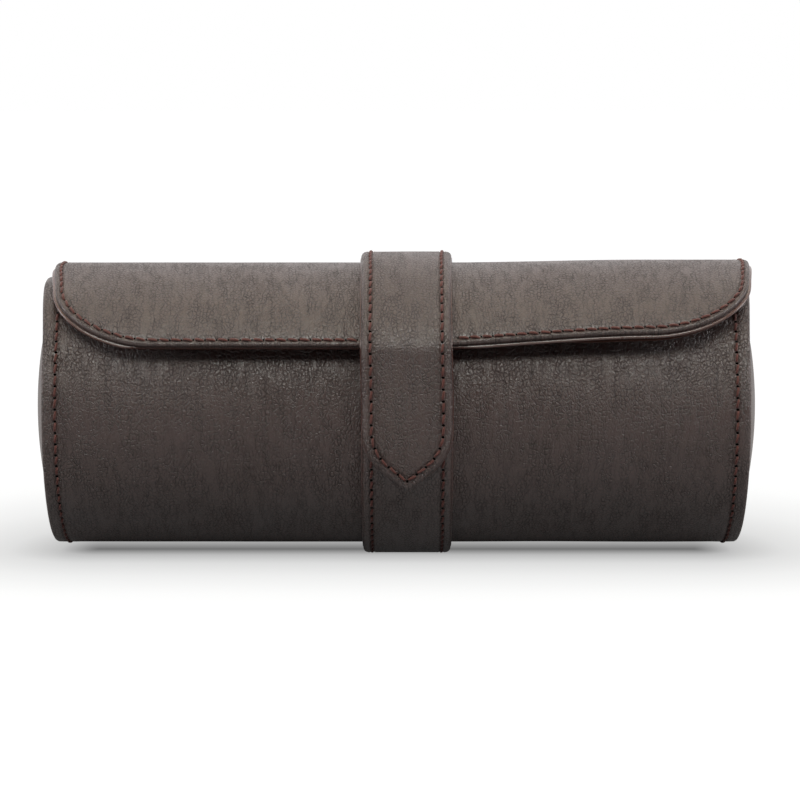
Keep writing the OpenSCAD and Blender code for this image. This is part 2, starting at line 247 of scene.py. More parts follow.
def leatherPaint(name, tintAndPaintedLight=(1, 1, 1), shine=0.0, creases=1.0, grain=1.0, shadeInCracks=1.0):
    look = leatherLook
    p = Paint(name)
    place = p.unwrapped()

    def cloudy(vector, scale, detail, out="Fac"):
        return p.node("TexNoise", {"noise_dimensions": "2D"},
                      {"Vector": vector, "Scale": scale, "Detail": detail, "Roughness": 0.55}, out=out)

    def cells(across):
        vector = p.scaled(bent, 1 / across, look["stretch"] / across, 0)
        return p.node("TexVoronoi", {"voronoi_dimensions": "2D", "feature": "DISTANCE_TO_EDGE"},
                      {"Vector": vector, "Scale": 1.0})

    bent = p.node("VectorMath", {"operation": "MULTIPLY_ADD"},
                  {0: cloudy(place, 0.5, 5.0, "Color"), 1: look["bend"], 2: place})
    pores = cloudy(place, look["pores"], 4.0)
    patch = cloudy(place, look["patches"], 3.0)
    # cracks come and go along the curve, and long soft folds run with them
    opened = p.ramp(cloudy(p.scaled(bent, 0.30, 0.09, 0), 1.0, 2.0), (0.32, 0.3), (0.60, 1.0))
    long = cloudy(p.scaled(bent, 0.34, 0.075, 0), 1.0, 2.0)
    fold = p.ramp(p.maths("ABSOLUTE", long - 0.5, 0), (0.0, 0.0), (0.02, 0.5), (0.07, 1.0))
    pebble = p.ramp(cells(look["pebble"]), (0.0, 0.0), (0.10, 0.35), (0.25, 0.7), (0.5, 1.0))
    wholePlate = p.ramp(cells(look["plate"]), (0.0, 0.0), (0.09, 0.55), (0.19, 0.9), (0.36, 1.0))
    plate = 1 - opened * (1 - wholePlate)
    depth = 0.4 + 0.8 * patch
    relief = (pebble * look["pebbleRelief"] * depth + plate * look["plateRelief"] * depth
              + pores * look["poreRelief"]) * grain + fold * (look["foldRelief"] * creases)
    # painted shade: low is how much darker the leather is painted between the pebbles, in the cracks and
    # along the folds
    low = ((1 - pebble) * look["pebbleShade"] * depth + (1 - plate) * look["plateShade"] * depth
           + (1 - fold) * look["foldShade"] * creases) * shadeInCracks
    base = p.mix(low * 0.6, look["colour"], look["crackShadeColour"])
    base = p.mix(p.ramp(pores * 0.6 + patch * 0.4, (0.40, 0.0), (0.66, 0.55)), base, look["rubbedColour"])
    base = p.node("Mix", {"data_type": "RGBA", "blend_type": "MULTIPLY"},
                  {"Factor_Float": 1.0, "A_Color": base, "B_Color": (*tintAndPaintedLight, 1)}, out=2)
    rough = look["roughness"] - shine + low * 0.2 + (patch - 0.5) * 0.12
    bump = p.node("Bump", None, {"Strength": 1.0, "Distance": look["relief"] * mm, "Height": relief})
    surface = p.node("BsdfPrincipled", None, {
        "Base Color": base, "Roughness": rough, "Normal": bump,
        "Specular IOR Level": look["specular"], "IOR": look["index"]})
    # painted shade: a dark matte finish is mixed into the cracks, dimming their highlight
    crack = p.node("BsdfPrincipled", None, {
        "Base Color": look["crackShadeColour"], "Roughness": 0.9, "Specular IOR Level": 0.1})
    dull = p.maths("MINIMUM", low * 0.3, 0.8)
    return p.finish(p.node("MixShader", None, {0: dull, 1: surface, 2: crack}))


suedeLook = {"lining": linear(98, 62, 54), "cushion": linear(146, 122, 104), "nap": 0.2}


def suedePaint(name, colour, mapped=False):
    p = Paint(name)
    if mapped:
        place = p.unwrapped()
    else:
        place = p.scaled(p.node("TexCoord", None, None, out="Object"), 1000, 1000, 1000)
    nap = p.node("TexNoise", None, {"Vector": place, "Scale": 1.6, "Detail": 6.0, "Roughness": 0.7})
    brushed = p.node("TexNoise", None, {"Vector": place, "Scale": 0.06, "Detail": 3.0, "Distortion": 0.6})
    dark = (colour[0] * 0.72, colour[1] * 0.7, colour[2] * 0.68, 1)
    pale = (colour[0] * 1.08, colour[1] * 1.07, colour[2] * 1.06, 1)
    base = p.mix(p.ramp(brushed, (0.30, 0.35), (0.70, 1.0)), dark, pale)
    base = p.mix(p.ramp(nap, (0.3, 0.6), (0.7, 0.0)), base, dark)
    bump = p.node("Bump", None, {"Strength": 0.7, "Distance": 0.12 * mm, "Height": nap})
    surface = p.node("BsdfPrincipled", None, {
        "Base Color": base, "Roughness": 0.92, "Normal": bump,
        "Sheen Weight": suedeLook["nap"], "Sheen Roughness": 0.45, "Specular IOR Level": 0.2})
    return p.finish(surface)


threadLook = {"colour": linear(124, 66, 58), "shade": linear(72, 36, 32)}


def threadPaint(name):
    p = Paint(name)
    ply = p.node("TexWave", {"bands_direction": "DIAGONAL"},
                 {"Vector": p.unwrapped(), "Scale": 1.1, "Distortion": 0.4})
    # the ply's grooves are painted darker: painted shade between the plies
    base = p.mix(p.ramp(ply, (0.1, 1.0), (0.6, 0.0)), threadLook["colour"], threadLook["shade"])
    bump = p.node("Bump", None, {"Strength": 0.8, "Distance": 0.1 * mm, "Height": ply})
    surface = p.node("BsdfPrincipled", None, {"Base Color": base, "Roughness": 0.62, "Normal": bump,
                                              "Sheen Weight": 0.2})
    return p.finish(surface)


def plainPaint(name, colour, roughness, grain=0.06, scale=0.8, gloss=0.5):
    p = Paint(name)
    place = p.scaled(p.node("TexCoord", None, None, out="Object"), 1000, 1000, 1000)
    speck = p.node("TexNoise", None, {"Vector": place, "Scale": scale, "Detail": 5.0})
    dark = (colour[0] * 0.7, colour[1] * 0.7, colour[2] * 0.7, 1)
    base = p.mix(p.ramp(speck, (0.4, 0.0), (0.65, 1.0)), colour, dark)
    bump = p.node("Bump", None, {"Strength": 0.6, "Distance": grain * mm, "Height": speck})
    surface = p.node("BsdfPrincipled", None, {"Base Color": base, "Roughness": roughness, "Normal": bump,
                                              "Specular IOR Level": gloss})
    return p.finish(surface)


barrelHide = leatherPaint("barrelHide", grain=2.0, shadeInCracks=1.4)
lidHide = leatherPaint("lidHide", grain=1.6, shadeInCracks=1.5)
strapHide = leatherPaint("strapHide", creases=0.5, grain=2.1, shadeInCracks=1.5)
# the ends are the same leather painted lighter: a painted sheen for the grazing light that they catch
endHidePaintedSheen = leatherPaint("endHidePaintedSheen", tintAndPaintedLight=(1.3, 1.3, 1.3), shine=0.10, creases=0.0, grain=0.1, shadeInCracks=0.1)
# the edges are painted lighter, partly for their burnished edge paint and partly as a painted highlight along
# them
edgeHideWithPaintedHighlight = leatherPaint("edgeHideWithPaintedHighlight", tintAndPaintedLight=(1.6, 1.42, 1.36), shine=0.08, creases=0.0, grain=0.3, shadeInCracks=0.2)
liningSuede = suedePaint("liningSuede", suedeLook["lining"])
liningMapped = suedePaint("liningMapped", suedeLook["lining"], mapped=True)
cushionSuede = suedePaint("cushionSuede", suedeLook["cushion"], mapped=True)
waxedThread = threadPaint("waxedThread")
# the awl holes are near-black discs: painted shade where the holes go into the leather
awlHoleShade = plainPaint("awlHoleShade", linear(9, 5, 5), 1.0, gloss=0.0)
cutEdge = plainPaint("cutEdge", linear(92, 52, 44), 0.6)
fibreBoard = plainPaint("fibreBoard", linear(141, 123, 100), 0.85, grain=0.1)
foam = plainPaint("foam", linear(205, 198, 184), 0.95, grain=0.2)
platedSteel = plainPaint("platedSteel", linear(190, 190, 192), 0.35, grain=0.01)
print("finishes made")


# a Course is a line in the Y-Z plane, its outside face outwards

class Course:
    def __init__(self, points, step=0.4, soften=0):
        line = [Vector(p) for p in points]
        line = resample(line, max(8, int(pathLength(line) / step)))
        for _ in range(soften):
            line = [line[0]] + [(line[i - 1] + line[i] * 2 + line[i + 1]) / 4
                                for i in range(1, len(line) - 1)] + [line[-1]]
        self.line = line
        self.at = [0.0]
        for a, b in zip(line, line[1:]):
            self.at.append(self.at[-1] + (b - a).length)
        self.length = self.at[-1]
        self.out = []
        for i in range(len(line)):
            t = line[min(i + 1, len(line) - 1)] - line[max(i - 1, 0)]
            self.out.append(Vector((t.y, -t.x)).normalized())
        if sum(n.dot(p) for n, p in zip(self.out, line)) < 0:
            self.out = [-n for n in self.out]

    def spot(self, s):
        s = min(max(s, 0), self.length - 1e-6)
        i = min(int(s / self.length * (len(self.line) - 1)), len(self.line) - 2)
        while i > 0 and self.at[i] > s:
            i -= 1
        while i < len(self.line) - 2 and self.at[i + 1] < s:
            i += 1
        k = (s - self.at[i]) / (self.at[i + 1] - self.at[i])
        return self.line[i].lerp(self.line[i + 1], k), self.out[i].lerp(self.out[i + 1], k).normalized()

    def place(self, x, s, h):
        p, n = self.spot(s)
        q = p + n * h
        return Vector((x, q.x, q.y + axisZ)) * mm


def arc(centre, radius, a0, a1, steps=48):
    return [centre + radius * way(a0 + (a1 - a0) * i / steps) for i in range(steps + 1)]


def pathLength(line):
    return sum((b - a).length for a, b in zip(line, line[1:]))


def resample(line, count):
    total = pathLength(line)
    made, i, gone = [line[0].copy()], 0, 0.0
    for k in range(1, count):
        want = total * k / count
        while i < len(line) - 2 and gone + (line[i + 1] - line[i]).length < want:
            gone += (line[i + 1] - line[i]).length
            i += 1
        step = (line[i + 1] - line[i]).length
        made.append(line[i].lerp(line[i + 1], (want - gone) / step if step else 0))
    return made + [line[-1].copy()]


def makePiece(name, points, faces, flat, materials, faceMaterial=None, around=0):
    mesh = bpy.data.meshes.new(name)
    mesh.from_pydata([tuple(p) for p in points], [], faces)
    layer = mesh.uv_layers.new(name="leather")
    for face in mesh.polygons:
        high = max(flat[v][1] for v in face.vertices)
        for k in face.loop_indices:
            u, v = flat[mesh.loops[k].vertex_index]
            layer.data[k].uv = (u, v + around if around and v < high - around / 2 else v)
    for m in materials:
        mesh.materials.append(m)
    for k, face in enumerate(mesh.polygons):
        face.use_smooth = True
        if faceMaterial:
            face.material_index = faceMaterial[k]
    mesh.validate()
    mesh.update()
    return addObject(name, mesh)


class Panel:
    # sides: back, right, front, left in turn, each a list of (x, s) that starts where the last ended
    def __init__(self, sides, counts, course, warp=None):
        across, along = counts
        self.counts = counts
        self.course = course
        self.warp = warp
        runs = [resample([Vector(p) for p in side], count)
                for side, count in zip(sides, (across, along, across, along))]
        self.ring = ring = [p for run in runs for p in run[:-1]]
        n = len(ring)
        area = sum(a.x * b.y - b.x * a.y for a, b in zip(ring, ring[1:] + ring[:1]))
        sign = 1 if area > 0 else -1
        steps = [ring[(i + 1) % n] - ring[i] for i in range(n)]
        self.inward = [Vector((-d.y, d.x)).normalized() * sign for d in steps]
        self.at = [0.0]
        for d in steps:
            self.at.append(self.at[-1] + d.length)
        # sharp corners, each with how much of its sides an inset of 1 trims away
        self.corners = []
        for i in range(n):
            fold = self.inward[i - 1].angle(self.inward[i])
            if fold > math.radians(25):
                self.corners.append((i, math.tan(fold / 2)))

    # the ring drawn in: a point between two sharp corners keeps its share of the way from one to the other
    def loop(self, inset):
        ring, at, n = self.ring, self.at, len(self.ring)
        first, last = self.corners[0], self.corners[-1]
        sharp = {corner[0] for corner in self.corners}
        made = []
        for i in range(n):
            before = max((c for c in self.corners if c[0] <= i), default=None)
            after = min((c for c in self.corners if c[0] > i), default=None)
            a0, trim0 = (at[before[0]], before[1]) if before else (at[last[0]] - at[n], last[1])
            a1, trim1 = (at[after[0]], after[1]) if after else (at[n] + at[first[0]], first[1])
            a = a0 + trim0 * inset + (at[i] - a0) * (a1 - a0 - (trim0 + trim1) * inset) / (a1 - a0)
            a = a % at[n]
            k = max(0, bisect.bisect_right(at, a) - 1) % n
            ahead = (k + 1) % n
            share = (a - at[k]) / (at[k + 1] - at[k])
            n0 = self.inward[k] if k in sharp else (self.inward[k - 1] + self.inward[k]).normalized()
            n1 = self.inward[k] if ahead in sharp else (self.inward[k] + self.inward[ahead]).normalized()
            made.append(ring[k].lerp(ring[ahead], share) + n0.lerp(n1, share).normalized() * inset)
        return made

    def lift(self, p, h):
        x, s = p
        if self.warp:
            x, s, h = self.warp(x, s, h)
        return self.course.place(x, s, h)

    def mesh(self, name, profile, materials, edgeFrom=99):
        across, along = self.counts
        n = len(self.ring)
        points, flat, faces, kinds = [], [], [], []
        loops = []
        for inset, h in profile:
            ids = []
            for p in self.loop(inset):
                ids.append(len(points))
                points.append(self.lift(p, h))
                flat.append((p.x / 100, (p.y + (h - profile[0][1]) * 0.7) / 100))
            loops.append(ids)
        for k, (a, b) in enumerate(zip(loops, loops[1:])):
            for i in range(n):
                j = (i + 1) % n
                faces.append((a[i], a[j], b[j], b[i]))
                kinds.append(1 if k >= edgeFrom else 0)
        for which, (ids, (inset, h)) in enumerate(((loops[0], profile[0]), (loops[-1], profile[-1]))):
            edge = self.loop(inset)
            back = edge[0:across + 1]
            right = edge[across:across + along + 1]
            front = edge[across + along:2 * across + along + 1][::-1]
            left = (edge[2 * across + along:] + edge[:1])[::-1]
            grid = {}
            for j in range(along + 1):
                for i in range(across + 1):
                    if j == 0:
                        grid[i, j] = ids[i]
                    elif j == along:
                        grid[i, j] = ids[2 * across + along - i]
                    elif i == 0:
                        grid[i, j] = ids[n - j]
                    elif i == across:
                        grid[i, j] = ids[across + j]
                    else:
                        u, v = i / across, j / along
                        p = (back[i] * (1 - v) + front[i] * v + left[j] * (1 - u) + right[j] * u
                             - back[0] * (1 - u) * (1 - v) - back[-1] * u * (1 - v)
                             - front[0] * (1 - u) * v - front[-1] * u * v)
                        grid[i, j] = len(points)
                        points.append(self.lift(p, h))
                        flat.append((p.x / 100, p.y / 100))
            for j in range(along):
                for i in range(across):
                    quad = (grid[i, j], grid[i + 1, j], grid[i + 1, j + 1], grid[i, j + 1])
                    faces.append(quad if which else quad[::-1])
                    kinds.append(0)
        piece = makePiece(name, points, faces, flat, materials, kinds)
        faceOut(piece)
        return piece


def faceOut(piece):
    mesh = piece.data
    volume = 0.0
    for face in mesh.polygons:
        first, *others = [mesh.vertices[v].co for v in face.vertices]
        for b, c in zip(others, others[1:]):
            volume += first.dot(b.cross(c))
    if volume < 0:
        mesh.flip_normals()


# a flat-floored groove for the seam, then the top layer's rounded edge, set back a little on the lower layer
def edgeProfile(thick, seam, lower, depth=0.2, reach=3.4, setBack=0.9, corner=0.85):
    split = lower - thick
    groove = [(seam + reach, 0.0), (seam + reach * 0.5, 0.03), (seam + 0.95, 0.0),
              (seam + 0.60, -depth * 0.8), (seam, -depth), (seam - 0.60, -depth * 0.8), (seam - 0.92, 0.02)]
    top = [(setBack + corner, -0.01), (setBack + corner * 0.56, -0.12 * corner),
           (setBack + corner * 0.21, -0.38 * corner), (setBack + 0.02, -0.78 * corner),
           (setBack, split + 0.2), (setBack + 0.2, split + 0.02)]
    low = [(setBack * 0.94, split), (setBack * 0.44, split + 0.02), (setBack * 0.15, split - 0.10),
           (0.0, split - 0.36), (0.0, 0.35 - thick), (0.15, 0.08 - thick),
           (0.5, -thick), (1.4, -thick), (3.0, -thick)]
    return groove + top + low, len(groove + top)


stitchForm = {
    "pitch": 3.72,
    "long": 3.2,
    "thick": 0.42,
    "slant": 9,       # degrees to the seam
    "rise": 0.40,
    "depth": 0.2,
    "hole": 0.5,
    "rings": 9,
    "sides": 8,
    "holeSides": 10,
    "holeNarrow": 0.72,    # along the seam
    "holeShape": ((1.0, 0.03), (0.8, 0.07), (0.4, 0.02)),    # its share of the radius, and its height
}


# one thread piece: every stitch is a short arched cord that dives into an awl hole at each end
def sewSeam(name, spots, hole=1.0, tight=1.0):
    form = stitchForm
    run = [0.0]
    for a, b in zip(spots, spots[1:]):
        run.append(run[-1] + (b[0] - a[0]).length / mm)
    count = max(1, round(run[-1] / form["pitch"]))
    step = run[-1] / count

    def spot(at):
        at = min(max(at, 0), run[-1])
        i = max(k for k in range(len(run) - 1) if run[k] <= at or k == 0)
        k = (at - run[i]) / max(run[i + 1] - run[i], 1e-9)
        return spots[i][0].lerp(spots[i + 1][0], k), spots[i][1].lerp(spots[i + 1][1], k).normalized()

    def frameAt(at):
        p, up = spot(at)
        ahead = (spot(at + 0.2)[0] - spot(at - 0.2)[0]).normalized()
        return p, up, ahead, ahead.cross(up).normalized()

    points, faces, flat = [], [], []
    rings, sides, holeSides = form["rings"], form["sides"], form["holeSides"]
    for c in range(count):
        middle = (c + 0.5) * step + random.uniform(-0.08, 0.08)
        length = form["long"] * tight * step / form["pitch"] * random.uniform(0.97, 1.03)
        slant = math.tan(math.radians(form["slant"] + random.uniform(-3, 3)))
        first = len(points)
        for r in range(rings):
            k = r / (rings - 1) * 2 - 1
            fromMiddle = k * length / 2
            p, up, ahead, side = frameAt(middle + fromMiddle)
            height = form["rise"] * (1 - abs(k) ** 2.6) - 0.30 * abs(k) ** 8 - 0.08
            centre = p + side * (fromMiddle * slant * mm) + up * (height * mm)
            thick = form["thick"] * (1 - 0.45 * abs(k) ** 4)
            for q in range(sides):
                a = 2 * math.pi * q / sides
                points.append(centre + (side * math.cos(a) * 1.08 + up * math.sin(a) * 0.9) * thick * mm)
                flat.append(((middle + fromMiddle) / 100, thick * a / 100))
        faces += tubeFaces(rings, sides, first)
        faces.append(tuple(first + q for q in range(sides))[::-1])
        faces.append(tuple(first + (rings - 1) * sides + q for q in range(sides)))
    kinds = [0] * len(faces)
    # at each hole a near-black disc: painted shade for the hole
    for c in range(count + 1):
        at = c * step
        p, up, ahead, side = frameAt(at)
        first = len(points)
        for share, h in form["holeShape"]:
            radius = share * hole * form["hole"]
            for q in range(holeSides):
                a = 2 * math.pi * q / holeSides
                rim = ahead * math.cos(a) * radius * form["holeNarrow"] + side * math.sin(a) * radius
                points.append(p + (rim + up * h) * mm)
                flat.append((at / 100, a / 100))
        faces += tubeFaces(len(form["holeShape"]), holeSides, first)
        faces.append(tuple(len(points) - holeSides + q for q in range(holeSides)))
    kinds += [1] * (len(faces) - len(kinds))
    return makePiece(name, points, faces, flat, [waxedThread, awlHoleShade], kinds)


def seamSpots(panel, line, h=0.0):
    spots = []
    for p in line:
        low, high = panel.lift(p, h), panel.lift(p, h + 1)
        spots.append((low, (high - low).normalized()))
    return spots


barrelForm = {
    "seatFrom": 20,              # angle from which it is let in under the lid
    "flare": 2.3,                # its ends' bands spread near the top
    "flareGrows": (25, 80),
    "flareFades": (100, 146),
    "seamIn": 4.5,
    "seamDepth": 0.2,
    "seamTop": 46,               # angle where the ends' seams stop at the front
    "seamPoints": 160,
    "wobble": 0.10,
    "columns": 2.6,              # mm a column
    "rows": 2.2,                 # mm a row
    "mouthRows": 44,
    "lip": (0.9, 2.4, 4.1),      # how deep the leather turns over the mouth's rim
    "thick": 0.55,
}


def barrelRadius(angle):
    a = (angle + 360) % 360
    direction = way(a)
    lidSeatEnd = caseForm["hingeAngle"] - turn(caseForm["spineHalf"] / 2, caseR)
    if a <= barrelForm["seatFrom"] or a > seatAngle:
        return caseR
    if a > lidSeatEnd:
        return caseR - caseForm["leather"]
    inner = lidR - caseForm["lidThick"] - caseForm["lidGap"]
    dot = direction.dot(lidC)
    return min(caseR, dot + math.sqrt(dot * dot + inner * inner - lidC.length_squared))


def endFlare(x, angle):
    form = barrelForm
    a = (angle + 360) % 360
    near = smoothStep(caseHalf - caseForm["endBand"], caseHalf, abs(x))
    top = smoothStep(*form["flareGrows"], a) * (1 - smoothStep(*form["flareFades"], a))
    return math.copysign(form["flare"] * near * top, x)


def makeBarrel():
    form = barrelForm
    edge = [(-1.2, -3.6), (-0.6, -3.3), (-0.12, -2.6), (0.0, -1.7),
            (-0.1, -0.9), (-0.42, -0.3), (-0.95, -0.03)]
    seam = form["seamIn"]
    deep = -form["seamDepth"]
    groove = [(-seam + 1.4, 0.03), (-seam + 0.95, 0.0), (-seam + 0.60, deep * 0.8), (-seam, deep),
              (-seam - 0.60, deep * 0.8), (-seam - 0.95, 0.0), (-seam - 1.6, 0.04)]
    band = -caseForm["endBand"]
    right = [(caseHalf + dx, h) for dx, h in edge + groove] + [(caseHalf + band, 0.0)]
    inner = caseHalf + band
    n = int(2 * inner / form["columns"])
    middle = [(-inner + 2 * inner * i / n, 0.0) for i in range(1, n)]
    columns = [(-x, h) for x, h in right] + middle + right[::-1]
    mouth0, mouth1 = caseForm["mouthFront"], seatAngle
    mouthRows = form["mouthRows"]
    angles = [mouth0 + (mouth1 - mouth0) * i / mouthRows for i in range(mouthRows + 1)]
    rest = 360 - (mouth1 - mouth0)
    m = int(math.radians(rest) * caseR / form["rows"])
    angles += [mouth1 + 0.02] + [mouth1 + rest * i / m for i in range(1, m)]
    points, flat, faces = [], [], []
    for x, h in columns:
        for a in angles:
            near = 1 - smoothStep(caseHalf - 12, caseHalf - 4, abs(x))
            r = barrelRadius(a) + h + form["wobble"] * near * ripple(x, a * 0.8, 34, 2.0)
            points.append(barrelSpot(x + endFlare(x, a), a, r))
            flat.append((x / 100, math.radians(a) * caseR / 100))
    rows = len(angles)
    lip = {}

    def lipPoint(i, j, k):
        if (i, j, k) not in lip:
            x, a = columns[i][0], angles[j]
            lip[i, j, k] = len(points)
            points.append(barrelSpot(x, a, barrelRadius(a) - form["lip"][k]))
            flat.append((x / 100, (math.radians(a) * caseR - form["lip"][k]) / 100))
        return lip[i, j, k]

    def lipStrip(i, j, i2, j2, turned):
        a = [i * rows + j] + [lipPoint(i, j, k) for k in range(3)]
        b = [i2 * rows + j2] + [lipPoint(i2, j2, k) for k in range(3)]
        for k in range(3):
            quad = (a[k], b[k], b[k + 1], a[k + 1])
            faces.append(quad[::-1] if turned else quad)

    lo = len(right) - 1
    hi = len(columns) - len(right)
    for i in range(len(columns) - 1):
        for j in range(rows):
            j2 = (j + 1) % rows
            inMouth = lo <= i < hi and j < mouthRows
            if not inMouth:
                faces.append((i * rows + j, i * rows + j2, (i + 1) * rows + j2, (i + 1) * rows + j))
    for j, turned in ((0, False), (mouthRows, True)):
        for i in range(lo, hi):
            lipStrip(i, j, i + 1, j, turned)
    for i, turned in ((lo, True), (hi, False)):
        for j in range(mouthRows):
            lipStrip(i, j, i, j + 1, turned)
    faces = [face[::-1] for face in faces]
    burnished = {0, 1, 2, len(columns) - 2, len(columns) - 3, len(columns) - 4}
    kinds = [1 if min(v // rows for v in face) in burnished and max(face) < rows * len(columns) else 0
             for face in faces]
    piece = makePiece("barrelLeather", points, faces, flat, [barrelHide, cutEdge], kinds,
                      around=2 * math.pi * caseR / 100)
    thicken(piece, form["thick"])
    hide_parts("shell_leather")
    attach(piece, "case")


def thicken(piece, thick):
    layer = piece.modifiers.new("thickness", "SOLIDIFY")
    layer.thickness = thick * mm
    layer.offset = -1


makeBarrel()


def barrelSeam(word, side):
    form = barrelForm
    x = side * (caseHalf - form["seamIn"])
    low, high = seatAngle - 360 + 1, form["seamTop"]
    spots = []
    for i in range(form["seamPoints"] + 1):
        a = low + (high - low) * i / form["seamPoints"]
        up = Vector((0, *way(a)))
        spots.append((barrelSpot(x + endFlare(x, a), a, barrelRadius(a) - form["seamDepth"]), up))
    piece = sewSeam(word + "EndStitches", spots)
    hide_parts(word + "_end_thread")
    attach(piece, "case")


barrelSeam("left", -1)
barrelSeam("right", 1)
print("barrel made")


endForm = {
    "rings": 26,
    "spokes": 96,
    "inset": 3.4,        # the dome starts inside the barrel's edge
    "pucker": 0.22,
    "rimSinks": 0.9,
    "thick": 1.1,
}


def makeEnd(word, side):
    form = endForm
    rim = caseR - form["inset"]
    rise = caseForm["domeOut"] + caseForm["leather"]
    ball = (rim * rim + rise * rise) / (2 * rise)
    points, flat = [], []
    spokes = form["spokes"]
    for k in range(form["rings"] + 1):
        share = (k / form["rings"]) ** 0.8
        for q in range(spokes):
            a = 360 * q / spokes
            r = (barrelRadius(a) - form["inset"]) * share
            flatR = rim * share
            x = caseHalf + caseForm["domeOut"] - ball + math.sqrt(ball * ball - flatR * flatR)
            near = smoothStep(0.72, 1.0, share)
            gather = math.sin(math.radians(a) * 23 + 2 * ripple(a, 0, 40))
            x += form["pucker"] * near * gather * (1 - share) * 4
            x -= form["rimSinks"] * smoothStep(0.93, 1.0, share)
            p = way(a) * r
            points.append(barrelSpot(side * x, a, r))
            flat.append((p.x / 100, p.y / 100))
    faces = tubeFaces(form["rings"] + 1, spokes)
    piece = makePiece(word + "EndLeather", points, faces, flat, [endHidePaintedSheen])
    mesh = piece.data
    if (mesh.polygons[len(mesh.polygons) // 2].normal.x > 0) != (side > 0):
        mesh.flip_normals()
    thicken(piece, form["thick"])
    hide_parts(word + "_end_leather", word + "_end_padding")
    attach(piece, "case")


makeEnd("left", -1)
makeEnd("right", 1)
print("ends made")


lidForm = {
    "cornerAcross": 34,
    "cornerAlong": 26,
    "narrow": 1.5,       # each side, at its front corners
    "taper": 0.021,      # its widening from there to the back
    "shift": 1.9,        # the sewn lid sits a little to the right
    "leftLong": 1.1,     # its left half hangs lower
    "rightLift": 1.9,    # degrees, its right front corner springs up
    "liftArm": 84,
    "rightShort": 2.2,
    "seamIn": 2.95,
    "seamFrom": 3,       # mm from its back edge
    "leatherThick": 2.9,
    "liningIn": 0.75,
    "liningOut": 0.9,
    "liningBack": 1.0,
    "liningSag": 0.4,
    "wobble": 0.16,
}
lidCourse = Course(arc(lidC, lidR, lidBack, caseForm["lidFront"], 90))


def lidOutline(half, back, front, acrossR, alongR):
    turns = [math.radians(a) for a in range(0, 91, 5)]
    corner = [(acrossR * math.cos(a), alongR * math.sin(a)) for a in turns]
    right = [(half - acrossR + cx, front - alongR + cy) for cx, cy in corner]
    left = [(-x, s) for x, s in right]
    cut = 9
    return [
        [(-half, back), (half, back)],
        [(half, back)] + right[:cut + 1],
        right[cut:] + left[cut:][::-1],
        left[:cut + 1][::-1] + [(-half, back)],
    ]


def lidWarp(x, s, h):
    form = lidForm
    share = smoothStep(12, 80, x)
    front = s / lidCourse.length
    x = x * (1 + form["taper"] * smoothStep(lidCourse.length - 20, lidCourse.length - 48, s))
    s = s + (form["leftLong"] * (1 - smoothStep(-10, 40, x)) - form["rightShort"] * share) * front ** 2
    h = h + form["wobble"] * ripple(x, s, 46, 5.0) * front
    h = h + form["liftArm"] * math.radians(form["rightLift"]) * share * front ** 1.3
    return x + form["shift"], s, h


def makeLid():
    form = lidForm
    half = lidHalf - form["narrow"]
    sides = lidOutline(half, 0, lidCourse.length, form["cornerAcross"], form["cornerAlong"])
    panel = Panel(sides, (116, 48), lidCourse, lidWarp)
    profile, edgeFrom = edgeProfile(form["leatherThick"], form["seamIn"], 1.1)
    piece = panel.mesh("lidLeather", profile, [lidHide, edgeHideWithPaintedHighlight], edgeFrom)
    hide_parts("lid_leather", "lid_board")
    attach(piece, "lid")

    inner = form["liningIn"]
    top, under = -form["leatherThick"], -caseForm["lidThick"]
    profile = [(1.6, top - 0.02), (0.1, top - 0.02), (0.0, top - 0.3),
               (0.05, under + 0.2), (0.3, under), (2.0, under)]
    sides = lidOutline(half - inner, inner, lidCourse.length - inner,
                       form["cornerAcross"], form["cornerAlong"])

    # the lining sits back from the left edge and hangs out a little at the right
    def liningWarp(x, s, h):
        share = smoothStep(34, 66, x) * (1 - smoothStep(100, 112, x))
        front = s / lidCourse.length
        s = s + (form["liningOut"] * share - form["liningBack"] * (1 - share)) * front ** 6
        return lidWarp(x, s, h - form["liningSag"] * share * front ** 8)

    lining = Panel(sides, (80, 34), lidCourse, liningWarp).mesh("lidLining", profile, [liningMapped])
    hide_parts("lid_lining")
    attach(lining, "lid")

    ring = panel.loop(form["seamIn"])
    across, along = panel.counts
    line = ring[across:] + ring[:1]
    line = [p for p in line if p.y > form["seamFrom"]]
    strapAt, clear = strapForm["shift"] - form["shift"], strapHalf + 0.4
    rightHalf = [p for p in line if p.x > strapAt + clear]
    leftHalf = [p for p in line if p.x < strapAt - clear]
    for name, seam in (("lidStitchesRight", rightHalf), ("lidStitchesLeft", leftHalf)):
        thread = sewSeam(name, seamSpots(panel, seam, -stitchForm["depth"]), hole=0.78, tight=1.06)
        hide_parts("lid_thread")
        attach(thread, "lid")


strapForm = {
    "shift": 3.5,        # the strap sits a little to the right of the middle
    "seamIn": 3.25,
    "lower": 1.6,        # its lower layer's thickness
    "split": 104,        # angle on the lid where the front and back lengths meet
    "lowerTop": 27,      # angle where the lower strap starts at the front
    "pastHinge": 5,      # degrees, from the hinge to where it leaves the barrel
    "ontoLid": 4.6,      # degrees, from the hinge to where it meets the lid
    "footHalf": 12,      # its foot, which has no stitches
    "leaves": 41,        # angle where the front length leaves the lid
    "bends": 34.6,       # angle of its bend
    "straight": 19.4,    # its straight run below the bend
    "shoulder": -3,      # the tab's heights are from the barrel's axis
    "round": 18,
    "turn": 52,
    "magnetAt": -4.6,
    "magnetR": 6.0,
    "magnetLies": (0.6, 1.55),    # above the tab's inner face
    "magnetSides": 48,
    "hangRadius": 105,
    "hangTurn": 24,
    "widen": 0.03,       # its share wider on top of the lid
    "wobble": 0.12,
}
makeLid()
print("lid made")


def straightSides(half, length):
    return [[(-half, 0), (half, 0)], [(half, 0), (half, length)],
            [(half, length), (-half, length)], [(-half, length), (-half, 0)]]


